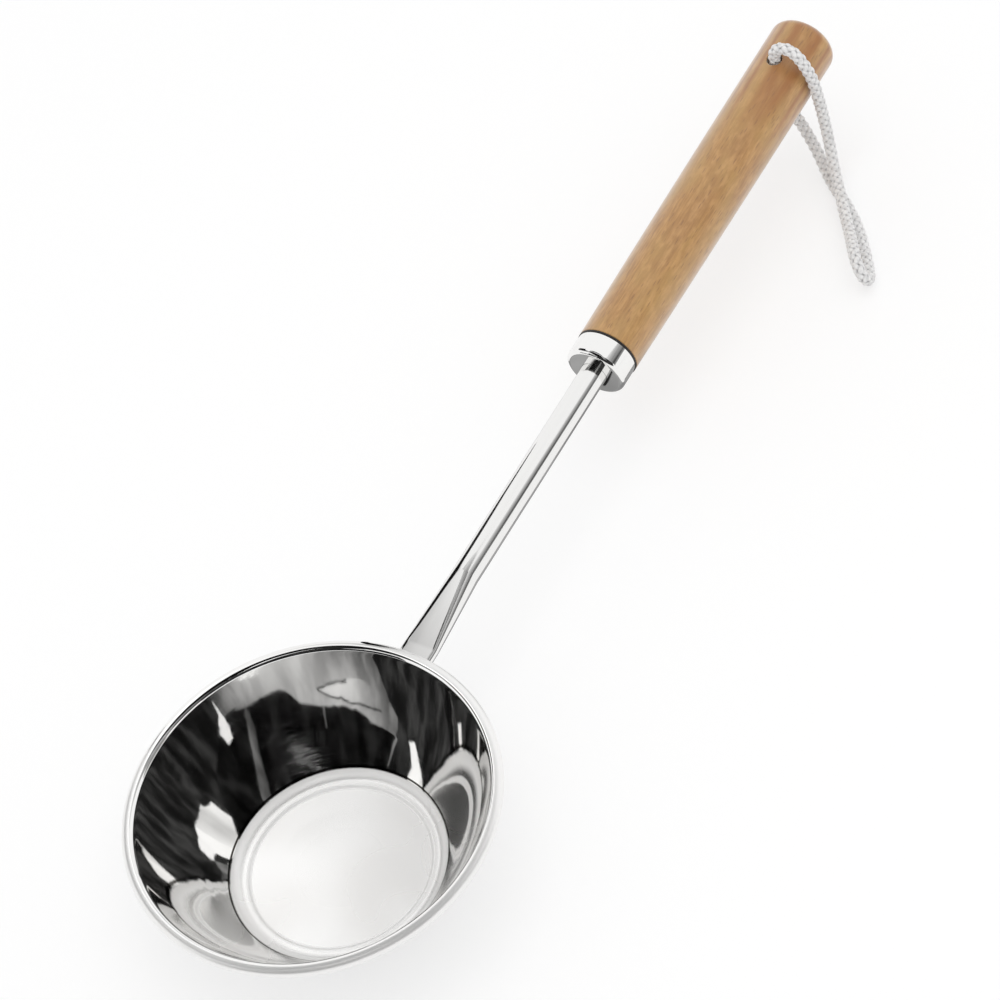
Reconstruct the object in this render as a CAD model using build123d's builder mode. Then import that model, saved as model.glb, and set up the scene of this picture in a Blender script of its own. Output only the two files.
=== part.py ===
from build123d import *
import math
import os

# Soup ladle: a deep spun bowl with a rolled rim, a round tube stem that is pressed
# flat and bent under the rim, and a turned wooden handle with a polished ferrule,
# a dark seat ring and a braided hanging loop.
# Millimetres. The origin is the centre of the bowl's resting face, +Z is up and
# +X points along the handle.

# Bowl
sheet = 0.8                     # thickness of the bowl's sheet
rim_outer_dia = 135.0           # across the outside of the rolled rim
bowl_height = 44.4              # from the resting face to the top of the rim
bead_dia = 4.8                  # thickness of the rolled rim
bead_sweep = 290.0              # degrees that the sheet is rolled round
wall_slope_low = 52.0           # degrees from level, just above the foot
wall_slope_high = 66.0          # degrees from level, just below the rim
knee_radius = 5.8               # inside, between the foot and the wall
step_height = 0.6               # the resting disc stands this far below the foot ring
step_slope = 45.0               # degrees from level
foot_ring_width = 1.5           # from the middle of the crease to the foot of the wall

# Stem
stem_dia = 10.0
stem_wall = 0.8
stem_height = 38.6              # of the handle's axis, above the table, at the rim
handle_rise = 1.18              # degrees that the handle climbs away from the bowl
flare_start = 40.0              # along the handle's axis, from the rim's circle
flare_end = 8.0
flat_thickness = 3.7            # of the pressed tube at the rim
flat_drop = 1.2                 # the pressed end lies this far below the axis
flat_crown = 0.15               # the pressed faces keep this much crown
bend_radius = 7.0               # of the middle line, where the stem turns under the rim
tongue_thickness = 1.8          # the tube pressed shut
tongue_length = 11.0
tongue_gap = 0.2                # between the tongue and the bowl's wall
tongue_corner = 5.5             # rounding of the tongue's free end
tang_depth = 45.0               # length of tube inside the wood
facet_half_angle = 15.0         # half the round tube's share that becomes a flat face

# Spot welds between the tongue and the wall
weld_dia = 4.4
weld_count = 2
weld_pitch = 6.0
weld_start = 2.4                # from the bend to the first weld's middle
dimple_dia = 5.2                # the electrode's mark on the tongue
dimple_depth = 0.2

# Ferrule, seat ring and wooden handle, along the handle's axis from the rim's circle
ferrule_face_at = 135.7
ferrule_length = 9.5
ferrule_dia = 23.5
ferrule_wall = 0.8
ferrule_edge_radius = 1.9
seat_ring_dia = 24.0
seat_ring_thickness = 1.0
seat_ring_edge_radius = 0.25
wood_length = 159.2             # of the bare wood
wood_joint_dia = 24.0
wood_end_dia = 26.0
wood_barrel = 0.25              # the wood swells this far beyond a straight taper
wood_end_radius = 4.2
cord_hole_from_end = 21.9
cord_hole_dia = 6.0
cord_hole_chamfer = 0.6
sliding_clearance = 0.05        # tube in wood, wood in ferrule
face_clearance = 0.1

# Hanging loop: one braided cord, from inside the hole, over the handle, along the
# table, back under the handle and up into the hole again
cord_dia = 4.8
cord_arc_share = 0.45           # of the shorter run beside each point
cord_route = (
    (348.5, 0.0, 45.2),
    (348.6, 0.1, 50.4),
    (348.4, 0.1, 55.2),
    (348.5, -0.1, 60.0),
    (348.5, -2.3, 63.3),
    (348.6, -6.0, 64.5),
    (348.5, -9.8, 63.0),
    (348.4, -12.3, 59.3),
    (348.5, -14.9, 52.4),
    (348.4, -15.9, 43.6),
    (348.4, -16.4, 32.0),
    (347.8, -17.0, 20.6),
    (345.4, -18.5, 11.8),
    (340.4, -22.0, 7.9),
    (332.8, -27.8, 7.8),
    (325.4, -33.4, 7.2),
    (317.6, -39.4, 7.5),
    (310.6, -44.8, 9.9),
    (305.8, -48.1, 12.2),
    (302.5, -50.6, 12.9),
    (300.1, -52.6, 12.5),
    (298.5, -54.4, 11.0),
    (297.9, -55.6, 8.6),
    (298.6, -56.3, 6.0),
    (300.5, -56.1, 3.7),
    (303.0, -55.1, 2.6),
    (307.0, -52.3, 2.4),
    (312.5, -48.3, 2.5),
    (318.7, -43.5, 2.4),
    (324.8, -38.1, 2.5),
    (331.8, -30.6, 2.4),
    (337.0, -23.2, 2.4),
    (343.4, -15.9, 2.5),
    (348.4, -10.4, 5.6),
    (350.6, -6.0, 13.0),
    (350.6, -2.6, 22.0),
    (348.5, 0.0, 31.0),
    (348.6, 0.1, 41.4),
)

overrun = 2.0                   # how far cutting tools reach past the metal or wood

os.makedirs("parts", exist_ok=True)


# Places that follow from the sizes above

bead_radius = bead_dia / 2
bead_circle = rim_outer_dia / 2 - bead_radius
bead_height = bowl_height - bead_radius
slope_low = math.radians(wall_slope_low)
slope_high = math.radians(wall_slope_high)

step_angle = math.radians(step_slope)
step_radius = step_height / (2 * (1 - math.cos(step_angle)))
step_reach = step_radius * math.sin(step_angle)
ring_height = sheet + step_height

wall_top = Vector(
    bead_circle - bead_radius * math.sin(slope_high),
    bead_height + bead_radius * math.cos(slope_high),
)
knee_top_height = ring_height + knee_radius * (1 - math.cos(slope_low))
wall_radius = (wall_top.Y - knee_top_height) / (math.cos(slope_low) - math.cos(slope_high))
wall_centre = wall_top - Vector(math.sin(slope_high), -math.cos(slope_high)) * wall_radius
wall_foot = wall_centre + Vector(math.sin(slope_low), -math.cos(slope_low)) * wall_radius
knee_foot_radius = wall_foot.X - knee_radius * math.sin(slope_low)
disc_radius = knee_foot_radius - foot_ring_width - step_reach

rise = math.radians(handle_rise)
handle_plane = Plane(
    origin=(bead_circle, 0, stem_height),
    x_dir=(math.cos(rise), 0, math.sin(rise)),
    z_dir=(-math.sin(rise), 0, math.cos(rise)),
)
handle_axis = Axis(handle_plane.origin, handle_plane.x_dir)


# Bowl: one sheet, whose inner and outer faces are the same line, from the middle of
# the resting disc to the end of the rolled rim, at two depths

def bowl_line(depth):
    """The bowl's section line, a depth below its inner face; returns its two ends."""
    disc = Line((0, sheet - depth), (disc_radius, sheet - depth))
    rise_out = JernArc(disc @ 1, disc % 1, step_radius + depth, step_slope)
    rise_in = JernArc(rise_out @ 1, rise_out % 1, step_radius - depth, -step_slope)
    foot_ring = Line(rise_in @ 1, (knee_foot_radius, ring_height - depth))
    knee = JernArc(foot_ring @ 1, foot_ring % 1, knee_radius + depth, wall_slope_low)
    wall_turn = wall_slope_high - wall_slope_low
    wall = JernArc(knee @ 1, knee % 1, wall_radius + depth, wall_turn)
    bead = JernArc(wall @ 1, wall % 1, bead_radius - depth, -bead_sweep)
    return disc @ 0, bead @ 1


with BuildPart() as bowl:
    with BuildSketch(Plane.XZ) as bowl_section:
        with BuildLine():
            inner_middle, inner_end = bowl_line(0)
            outer_middle, outer_end = bowl_line(sheet)
            Line(inner_middle, outer_middle)
            Line(inner_end, outer_end)
        make_face()
    revolve(axis=Axis.Z)

bowl.part.label = "bowl"
export_step(bowl.part, "parts/bowl.step")


# Stem: the pressed end's middle line leaves the handle's axis, turns under the rim
# and follows the wall down; sections stand square to it. The tongue is bowed to lie
# against the round wall.

tongue_half_flat = math.pi * (stem_dia - tongue_thickness) / 4
tongue_bow = tongue_half_flat**2 * math.sin(slope_high) / (2 * wall_top.X)
tongue_foot = sheet + tongue_gap
tongue_line_radius = wall_radius + tongue_foot + tongue_thickness / 2 - tongue_bow
along = Vector(math.cos(rise), math.sin(rise))
across = Vector(-math.sin(rise), math.cos(rise))
rim_point = Vector(bead_circle, stem_height)
bend_row = rim_point - across * (flat_drop + bend_radius)
to_row = bend_row - wall_centre
reach = tongue_line_radius + bend_radius
half_turn = to_row.dot(along)
bend_start = -half_turn + math.sqrt(half_turn**2 - to_row.dot(to_row) + reach**2)
bend_centre = bend_row + along * bend_start
to_bend = (bend_centre - wall_centre).normalized()
tongue_top_slope = math.atan2(to_bend.X, -to_bend.Y)
tongue_turn = tongue_length / tongue_line_radius


def pressed_width(thickness):
    """Width of the round tube when it is pressed to a thickness."""
    return thickness + math.pi * (stem_dia - thickness) / 2


round_facet = math.radians(facet_half_angle)
round_shape = (
    stem_dia / 2 * math.sin(round_facet),
    stem_dia / 2 * math.cos(round_facet),
    stem_dia / 2 * (1 - math.cos(round_facet)),
    stem_dia / 2 * (1 - math.cos(round_facet)),
    stem_dia / 2,
)


def pressed_shape(thickness, top_crown, bottom_crown):
    """Half flat, half thickness, crowns and half width of a pressed section."""
    half_flat = (pressed_width(thickness) - thickness) / 2
    return (half_flat, thickness / 2, top_crown, bottom_crown, pressed_width(thickness) / 2)


def blend(first, second, share):
    """Shape or place that lies a share of the way from the first to the second."""
    return tuple(a + (b - a) * share for a, b in zip(first, second))


def section_plane(middle, slope):
    """Plane square to the stem; its own Y points to the upper side."""
    return Plane(
        origin=(middle.X, 0, middle.Y),
        x_dir=(0, 1, 0),
        z_dir=(math.cos(slope), 0, math.sin(slope)),
    )


# Stations of the pressed end: place of the middle line, slope and shape
flare_shares = (0.0, 0.2, 0.45, 0.7, 1.0)
bend_shares = (0.0, 0.35, 0.7, 1.0)
tongue_shares = (0.5, 1.0)

flat_shape = pressed_shape(flat_thickness, flat_crown, flat_crown)
flare_stations = []
for share in flare_shares:
    at = flare_start + (flare_end - flare_start) * share
    middle = rim_point + along * at - across * (flat_drop * share)
    flare_stations.append((middle, rise, blend(round_shape, flat_shape, share)))

bend_stations = []
for share in bend_shares:
    slope = rise + (tongue_top_slope - rise) * share
    middle = bend_centre + Vector(-math.sin(slope), math.cos(slope)) * bend_radius
    thickness = flat_thickness + (tongue_thickness - flat_thickness) * share
    bow = tongue_bow * share
    crown = flat_crown * (1 - share)
    bend_stations.append((middle, slope, pressed_shape(thickness, crown - bow, crown + bow)))

tongue_shape = pressed_shape(tongue_thickness, -tongue_bow, tongue_bow)
tongue_stations = [bend_stations[-1]]
for share in tongue_shares:
    slope = tongue_top_slope - tongue_turn * share
    middle = wall_centre + Vector(math.sin(slope), -math.cos(slope)) * tongue_line_radius
    tongue_stations.append((middle, slope, tongue_shape))

runs = (
    flare_stations,
    (flare_stations[-1], bend_stations[0]),
    bend_stations,
    tongue_stations,
)


def tube_section(plane, shape, inset=0.0):
    """One section of the stem, or of its hollow, as four arcs on its plane."""
    half_flat, half_height, top_crown, bottom_crown, half_width = shape
    height = half_height - inset
    side = half_width - inset
    if inset and half_flat < half_height:
        scale = side / half_width
        half_flat = half_flat * scale
        height = half_height * scale
    with BuildSketch(plane) as section:
        with BuildLine():
            ThreePointArc((-half_flat, height), (0, height + top_crown), (half_flat, height))
            ThreePointArc((half_flat, height), (side, 0), (half_flat, -height))
            ThreePointArc((half_flat, -height), (0, -height - bottom_crown), (-half_flat, -height))
            ThreePointArc((-half_flat, -height), (-side, 0), (-half_flat, height))
        make_face()
    return section.sketch


wood_start = ferrule_face_at + ferrule_length + seat_ring_thickness
tang_end = wood_start + tang_depth
flare_plane = section_plane(*flare_stations[0][:2])
tube_length = tang_end - flare_start


def wall_plane(along_tongue, out):
    """Plane a distance below the bend and out from the wall's inner face."""
    slope = tongue_top_slope - along_tongue / tongue_line_radius
    outward = Vector(math.sin(slope), -math.cos(slope))
    place = wall_centre + outward * (wall_radius + out)
    return Plane(
        origin=(place.X, 0, place.Y),
        x_dir=(0, 1, 0),
        z_dir=(outward.X, 0, outward.Y),
    )


weld_places = [weld_start + weld_pitch * i for i in range(weld_count)]
tongue_half_width = pressed_width(tongue_thickness) / 2
tongue_end_plane = wall_plane(tongue_length, tongue_foot)

with BuildPart() as stem:
    for run in runs:
        for middle, slope, shape in run:
            add(tube_section(section_plane(middle, slope), shape))
        loft()
    with BuildSketch(flare_plane):
        Circle(stem_dia / 2)
    extrude(amount=tube_length)
    # hollow, as far as the bend
    for run in runs[:2]:
        for middle, slope, shape in run:
            add(tube_section(section_plane(middle, slope), shape, stem_wall))
        loft(mode=Mode.SUBTRACT)
    with BuildSketch(flare_plane):
        Circle(stem_dia / 2 - stem_wall)
    extrude(amount=tube_length, mode=Mode.SUBTRACT)
    # the free end of the tongue is rounded
    with BuildSketch(tongue_end_plane) as tongue_end:
        with Locations((0, -overrun)):
            Rectangle(
                2 * (tongue_half_width + overrun),
                tongue_corner + overrun,
                align=(Align.CENTER, Align.MIN),
            )
        RectangleRounded(
            2 * tongue_half_width,
            2 * (tongue_corner + overrun),
            tongue_corner,
            align=(Align.CENTER, Align.MIN),
            mode=Mode.SUBTRACT,
        )
    extrude(amount=tongue_thickness + overrun, both=True, mode=Mode.SUBTRACT)
    # the welding electrode leaves a shallow round mark over each weld
    for place in weld_places:
        with BuildSketch(wall_plane(place, tongue_foot + tongue_thickness - dimple_depth)):
            Circle(dimple_dia / 2)
        extrude(amount=overrun, mode=Mode.SUBTRACT)

stem.part.label = "stem"
export_step(stem.part, "parts/stem.step")


# Spot welds: the metal that bridges the narrow gap between the tongue and the wall

weld_reach = sheet / 2 + tongue_gap + tongue_thickness / 2

with BuildPart() as spot_welds:
    for place in weld_places:
        with BuildSketch(wall_plane(place, sheet / 2)):
            Circle(weld_dia / 2)
        extrude(amount=weld_reach)
    add(bowl.part, mode=Mode.SUBTRACT)
    add(stem.part, mode=Mode.SUBTRACT)

spot_welds.part.label = "spot_welds"
export_step(spot_welds.part, "parts/spot_welds.step")


# Ferrule: a drawn cap over the wood's tenon, with the stem through its face

ferrule_end = ferrule_face_at + ferrule_length
stem_hole = stem_dia / 2 + face_clearance
ferrule_bore = ferrule_dia / 2 - ferrule_wall

with BuildPart() as ferrule:
    with BuildSketch(handle_plane) as ferrule_section:
        with BuildLine():
            Polyline(
                (ferrule_face_at, stem_hole),
                (ferrule_face_at, ferrule_dia / 2),
                (ferrule_end, ferrule_dia / 2),
                (ferrule_end, ferrule_bore),
                (ferrule_face_at + ferrule_wall, ferrule_bore),
                (ferrule_face_at + ferrule_wall, stem_hole),
                close=True,
            )
        make_face()
        outer_corner = ferrule_section.vertices().group_by(Axis.Y)[-1].sort_by(Axis.X)[0]
        fillet(outer_corner, ferrule_edge_radius)
        inner_corner = ferrule_section.vertices().sort_by_distance(
            (ferrule_face_at + ferrule_wall, ferrule_bore)
        )[0]
        fillet(inner_corner, ferrule_edge_radius - ferrule_wall)
    revolve(axis=handle_axis)

ferrule.part.label = "ferrule"
export_step(ferrule.part, "parts/ferrule.step")


# Handle: a turned and slightly swelling grip, with a tenon in the ferrule, a blind
# bore for the tube and a cross hole for the cord

wood_end = wood_start + wood_length
tenon_start = ferrule_face_at + ferrule_wall + face_clearance
tenon_radius = ferrule_bore - sliding_clearance
tang_bore = stem_dia / 2 + sliding_clearance
tang_bore_end = tang_end + face_clearance
cord_hole_at = wood_end - cord_hole_from_end
hole_share = (cord_hole_at - wood_start) / wood_length
hole_crown = (
    wood_joint_dia / 2
    + (wood_end_dia - wood_joint_dia) / 2 * hole_share
    + 4 * wood_barrel * hole_share * (1 - hole_share)
)
countersink_start = hole_crown - cord_hole_chamfer
countersink_reach = cord_hole_chamfer + overrun

with BuildPart() as handle:
    with BuildSketch(handle_plane) as handle_section:
        with BuildLine():
            Polyline(
                (tang_bore_end, 0),
                (tang_bore_end, tang_bore),
                (tenon_start, tang_bore),
                (tenon_start, tenon_radius),
                (wood_start, tenon_radius),
                (wood_start, wood_joint_dia / 2),
            )
            ThreePointArc(
                (wood_start, wood_joint_dia / 2),
                (
                    (wood_start + wood_end) / 2,
                    (wood_joint_dia + wood_end_dia) / 4 + wood_barrel,
                ),
                (wood_end, wood_end_dia / 2),
            )
            Polyline((wood_end, wood_end_dia / 2), (wood_end, 0), (tang_bore_end, 0))
        make_face()
        end_corner = handle_section.vertices().group_by(Axis.X)[-1].sort_by(Axis.Y)[-1]
        fillet(end_corner, wood_end_radius)
        tenon_corner = handle_section.vertices().group_by(Axis.X)[0].sort_by(Axis.Y)[-1]
        fillet(tenon_corner, ferrule_edge_radius - ferrule_wall)
    revolve(axis=handle_axis)
    # the cord's hole goes straight through, with a countersink at both mouths
    cord_hole_plane = Plane(
        origin=handle_plane.from_local_coords((cord_hole_at, 0, 0)),
        x_dir=handle_plane.x_dir,
        z_dir=(0, -1, 0),
    )
    with BuildSketch(cord_hole_plane):
        with BuildLine():
            Polyline(
                (0, -countersink_start - countersink_reach),
                (cord_hole_dia / 2 + countersink_reach, -countersink_start - countersink_reach),
                (cord_hole_dia / 2, -countersink_start),
                (cord_hole_dia / 2, countersink_start),
                (cord_hole_dia / 2 + countersink_reach, countersink_start + countersink_reach),
                (0, countersink_start + countersink_reach),
                close=True,
            )
        make_face()
    revolve(axis=Axis(cord_hole_plane.origin, cord_hole_plane.y_dir), mode=Mode.SUBTRACT)

handle.part.label = "handle"
export_step(handle.part, "parts/handle.step")


# Seat ring: the dark ring that fills the joint between the ferrule and the wood

with BuildPart() as seat_ring:
    with BuildSketch(handle_plane) as ring_section:
        with BuildLine():
            Polyline(
                (ferrule_end, tenon_radius + sliding_clearance),
                (ferrule_end, seat_ring_dia / 2),
                (wood_start, seat_ring_dia / 2),
                (wood_start, tenon_radius + sliding_clearance),
                close=True,
            )
        make_face()
        fillet(ring_section.vertices().group_by(Axis.Y)[-1], seat_ring_edge_radius)
    revolve(axis=handle_axis)

seat_ring.part.label = "seat_ring"
export_step(seat_ring.part, "parts/seat_ring.step")


# Hanging cord: straight runs joined by arcs as large as the runs allow

cord_points = [Vector(*point) for point in cord_route]
cord_radii = []
for before, corner, after in zip(cord_points, cord_points[1:], cord_points[2:]):
    run_in = corner - before
    run_out = after - corner
    half_turn_angle = math.radians(run_in.get_angle(run_out)) / 2
    shorter = min(run_in.length, run_out.length)
    cord_radii.append(cord_arc_share * shorter / math.tan(half_turn_angle))

with BuildPart() as hang_cord:
    with BuildLine() as cord_line:
        FilletPolyline(*cord_points, radius=cord_radii)
    with BuildSketch(Plane(origin=cord_points[0], z_dir=cord_points[1] - cord_points[0])):
        Circle(cord_dia / 2)
    sweep()

hang_cord.part.label = "hang_cord"
export_step(hang_cord.part, "parts/hang_cord.step")

cord_length = sum(edge.length for edge in cord_line.edges())
tube_volume = cord_length * math.pi * cord_dia**2 / 4
print("cord length", round(cord_length, 1))
print("cord bend radii", [round(radius, 1) for radius in cord_radii])
print("cord volume", round(hang_cord.part.volume), "against", round(tube_volume))
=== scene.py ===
import math

import bmesh
import bpy
from mathutils import Matrix, Vector


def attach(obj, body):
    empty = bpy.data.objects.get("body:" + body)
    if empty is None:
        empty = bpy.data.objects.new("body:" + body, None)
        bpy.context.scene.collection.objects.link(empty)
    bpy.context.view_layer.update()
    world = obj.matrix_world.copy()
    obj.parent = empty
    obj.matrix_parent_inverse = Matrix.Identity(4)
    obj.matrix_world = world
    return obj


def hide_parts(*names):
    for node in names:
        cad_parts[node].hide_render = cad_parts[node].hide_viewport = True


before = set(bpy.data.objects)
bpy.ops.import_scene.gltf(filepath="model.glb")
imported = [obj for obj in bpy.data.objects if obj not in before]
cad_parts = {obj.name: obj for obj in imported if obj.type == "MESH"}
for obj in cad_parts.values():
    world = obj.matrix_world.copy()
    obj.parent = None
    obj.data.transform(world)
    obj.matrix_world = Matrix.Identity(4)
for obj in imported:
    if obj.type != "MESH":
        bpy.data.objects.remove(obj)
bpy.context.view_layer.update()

# A soup ladle: polished bowl and tube stem, ferrule, dark seat ring, beech handle and
# a white braided hanging loop. Metres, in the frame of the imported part.

MM = 0.001

# Driving dimensions, the same as the part's
SHEET = 0.8 * MM
RIM_RADIUS = 67.5 * MM
BOWL_HEIGHT = 44.4 * MM
BEAD_RADIUS = 2.4 * MM
BEAD_SWEEP = 290.0
SLOPE_LOW = 52.0
SLOPE_HIGH = 66.0
KNEE_RADIUS = 5.8 * MM
STEP_HEIGHT = 0.6 * MM
STEP_SLOPE = 45.0
FOOT_RING_WIDTH = 1.5 * MM

STEM_RADIUS = 5.0 * MM
STEM_HEIGHT = 38.6 * MM
HANDLE_RISE = math.radians(1.18)
FLARE_START = 40.0 * MM
FLARE_END = 8.0 * MM
FLAT_THICKNESS = 3.7 * MM
FLAT_DROP = 1.2 * MM
FLAT_CROWN = 0.15 * MM
BEND_RADIUS = 7.0 * MM
TONGUE_THICKNESS = 1.8 * MM
TONGUE_LENGTH = 11.0 * MM
TONGUE_GAP = 0.2 * MM
TONGUE_CORNER = 5.5 * MM
FACET_HALF_ANGLE = math.radians(15.0)
WELD_START = 2.4 * MM
WELD_PITCH = 6.0 * MM
WELD_COUNT = 2
DIMPLE_RADIUS = 2.6 * MM
DIMPLE_DEPTH = 0.2 * MM

FERRULE_AT = 135.7 * MM
FERRULE_LENGTH = 9.5 * MM
FERRULE_RADIUS = 11.75 * MM
FERRULE_WALL = 0.8 * MM
FERRULE_EDGE = 1.9 * MM
RING_RADIUS = 12.0 * MM
RING_THICKNESS = 1.0 * MM
WOOD_LENGTH = 159.2 * MM
WOOD_JOINT_RADIUS = 12.0 * MM
WOOD_END_RADIUS = 13.0 * MM
WOOD_BARREL = 0.25 * MM
WOOD_EDGE = 4.2 * MM
HOLE_FROM_END = 21.9 * MM
HOLE_RADIUS = 3.0 * MM
HOLE_CHAMFER = 0.6 * MM
DRILL_OVERRUN = 2.0 * MM
SHOULDER_EDGE = 0.25 * MM
STEM_CLEARANCE = 0.1 * MM

CORD_ROUTE = (
    (348.5, 0.0, 45.2),
    (348.6, 0.1, 50.4),
    (348.4, 0.1, 55.2),
    (348.5, -0.1, 60.0),
    (348.5, -2.3, 63.3),
    (348.6, -6.0, 64.5),
    (348.5, -9.8, 63.0),
    (348.4, -12.3, 59.3),
    (348.5, -14.9, 52.4),
    (348.4, -15.9, 43.6),
    (348.4, -16.4, 32.0),
    (347.8, -17.0, 20.6),
    (345.4, -18.5, 11.8),
    (340.4, -22.0, 7.9),
    (332.8, -27.8, 7.8),
    (325.4, -33.4, 7.2),
    (317.6, -39.4, 7.5),
    (310.6, -44.8, 9.9),
    (305.8, -48.1, 12.2),
    (302.5, -50.6, 12.9),
    (300.1, -52.6, 12.5),
    (298.5, -54.4, 11.0),
    (297.9, -55.6, 8.6),
    (298.6, -56.3, 6.0),
    (300.5, -56.1, 3.7),
    (303.0, -55.1, 2.6),
    (307.0, -52.3, 2.4),
    (312.5, -48.3, 2.5),
    (318.7, -43.5, 2.4),
    (324.8, -38.1, 2.5),
    (331.8, -30.6, 2.4),
    (337.0, -23.2, 2.4),
    (343.4, -15.9, 2.5),
    (348.4, -10.4, 5.6),
    (350.6, -6.0, 13.0),
    (350.6, -2.6, 22.0),
    (348.5, 0.0, 31.0),
    (348.6, 0.1, 41.4),
)

# Fineness of the meshes: steps along each stretch, segments round each turned piece
SHARP_ANGLE = 35.0
STEM_SHARP_ANGLE = 50.0
CORD_SHARP_ANGLE = 80.0
STEP_STEPS = 8
KNEE_STEPS = 18
WALL_STEPS = 40
BEAD_STEPS = 58
BOWL_SEGMENTS = 320
FLAT_STEPS = 20
SIDE_STEPS = 32
ROUND_STEPS = 12
FLARE_STEPS = 48
NECK_STEPS = 8
BEND_STEPS = 24
TONGUE_STEPS = 44
FERRULE_EDGE_STEPS = 16
FERRULE_SEGMENTS = 256
RING_EDGE_STEPS = 5
RING_SEGMENTS = 192
WOOD_STEPS = 120
WOOD_EDGE_STEPS = 14
WOOD_SEGMENTS = 160
HOLE_SEGMENTS = 64

# Places that follow
bead_circle = RIM_RADIUS - BEAD_RADIUS
bead_height = BOWL_HEIGHT - BEAD_RADIUS
slope_low = math.radians(SLOPE_LOW)
slope_high = math.radians(SLOPE_HIGH)
step_angle = math.radians(STEP_SLOPE)
step_radius = STEP_HEIGHT / (2 * (1 - math.cos(step_angle)))
ring_height = SHEET + STEP_HEIGHT
wall_top = Vector((
    bead_circle - BEAD_RADIUS * math.sin(slope_high),
    bead_height + BEAD_RADIUS * math.cos(slope_high),
))
knee_top = ring_height + KNEE_RADIUS * (1 - math.cos(slope_low))
wall_radius = (wall_top.y - knee_top) / (math.cos(slope_low) - math.cos(slope_high))


def outward(slope):
    """Unit vector, in the upright half plane, out of a wall of that slope."""
    return Vector((math.sin(slope), -math.cos(slope)))


wall_centre = wall_top - outward(slope_high) * wall_radius
knee_foot = (wall_centre + outward(slope_low) * wall_radius).x - KNEE_RADIUS * math.sin(slope_low)
step_middle = knee_foot - FOOT_RING_WIDTH
disc_radius = step_middle - step_radius * math.sin(step_angle)
wood_start = FERRULE_AT + FERRULE_LENGTH + RING_THICKNESS
wood_end = wood_start + WOOD_LENGTH
hole_at = wood_end - HOLE_FROM_END
handle_frame = Matrix((
    (-math.sin(HANDLE_RISE), 0, math.cos(HANDLE_RISE), bead_circle),
    (0, -1, 0, 0),
    (math.cos(HANDLE_RISE), 0, math.sin(HANDLE_RISE), STEM_HEIGHT),
    (0, 0, 0, 1),
))


# Camera, fitted to the photograph

CAMERA_PLACE = Vector((-0.48899, -0.64157, 1.15685))
CAMERA_RIGHT = Vector((0.49215, -0.84428, -0.21211))
CAMERA_UP = Vector((0.75272, 0.29033, 0.59087))
CAMERA_LENS = 144.0
CAMERA_SENSOR = 36.0
CAMERA_REACH = 20.0


def make_camera():
    data = bpy.data.cameras.new("camera")
    data.lens = CAMERA_LENS
    data.sensor_width = CAMERA_SENSOR
    data.clip_end = CAMERA_REACH
    camera = bpy.data.objects.new("camera", data)
    bpy.context.collection.objects.link(camera)
    right = CAMERA_RIGHT.normalized()
    back = right.cross(CAMERA_UP).normalized()
    up = back.cross(right)
    camera.matrix_world = Matrix((
        (right.x, up.x, back.x, CAMERA_PLACE.x),
        (right.y, up.y, back.y, CAMERA_PLACE.y),
        (right.z, up.z, back.z, CAMERA_PLACE.z),
        (0, 0, 0, 1),
    ))
    bpy.context.scene.camera = camera


# Mesh helpers

# Lengths that count as nothing
ON_AXIS = 1e-7
NO_RISE = 1e-9


def finish_mesh(name, build, matrix=None, sharp=SHARP_ANGLE):
    """Object from a bmesh, smooth except over edges sharper than an angle in degrees."""
    bmesh.ops.recalc_face_normals(build, faces=build.faces)
    mesh = bpy.data.meshes.new(name)
    build.to_mesh(mesh)
    build.free()
    for face in mesh.polygons:
        face.use_smooth = True
    mesh.set_sharp_from_angle(angle=math.radians(sharp))
    piece = bpy.data.objects.new(name, mesh)
    bpy.context.collection.objects.link(piece)
    if matrix is not None:
        piece.matrix_world = matrix
    return piece


def trace(point, heading, moves):
    """Points along straight moves (length,) and arcs (radius, turn in degrees, steps)."""
    place = Vector(point)
    points = [place.copy()]
    for move in moves:
        if len(move) == 1:
            place = place + Vector((math.cos(heading), math.sin(heading))) * move[0]
            points.append(place.copy())
            continue
        radius, turn, steps = move
        side = math.copysign(1.0, turn)
        centre = place + Vector((-math.sin(heading), math.cos(heading))) * radius * side
        for step in range(1, steps + 1):
            angle = heading + math.radians(turn) * step / steps
            place = centre - Vector((-math.sin(angle), math.cos(angle))) * radius * side
            points.append(place.copy())
        heading += math.radians(turn)
    return points


def join_rings(build, first, second):
    """Faces between two rings of vertices, either of which may be a single one."""
    count = max(len(first), len(second))
    if count == 1:
        return
    for index in range(count):
        following = (index + 1) % count
        if len(first) == 1:
            build.faces.new((first[0], second[following], second[index]))
        elif len(second) == 1:
            build.faces.new((first[index], first[following], second[0]))
        else:
            build.faces.new((first[index], first[following], second[following], second[index]))


def lathe(name, profile, segments, matrix=None, closed=True):
    """Surface of revolution about the local Z axis from (radius, height) points."""
    build = bmesh.new()
    rings = []
    for radius, height in profile:
        if radius < ON_AXIS:
            rings.append([build.verts.new((0, 0, height))])
            continue
        ring = []
        for index in range(segments):
            angle = 2 * math.pi * index / segments
            place = (radius * math.cos(angle), radius * math.sin(angle), height)
            ring.append(build.verts.new(place))
        rings.append(ring)
    pairs = list(zip(rings, rings[1:]))
    if closed:
        pairs.append((rings[-1], rings[0]))
    for first, second in pairs:
        join_rings(build, first, second)
    return finish_mesh(name, build, matrix)


def add_tube(build, rings):
    """Closed tube through rings of vertices with the same count."""
    for first, second in zip(rings, rings[1:]):
        join_rings(build, first, second)
    build.faces.new(rings[0])
    build.faces.new(rings[-1])


def evaluated_mesh(holder):
    """The mesh that an object's curve or modifiers give."""
    bpy.context.view_layer.update()
    evaluated = holder.evaluated_get(bpy.context.evaluated_depsgraph_get())
    return bpy.data.meshes.new_from_object(evaluated)


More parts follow.
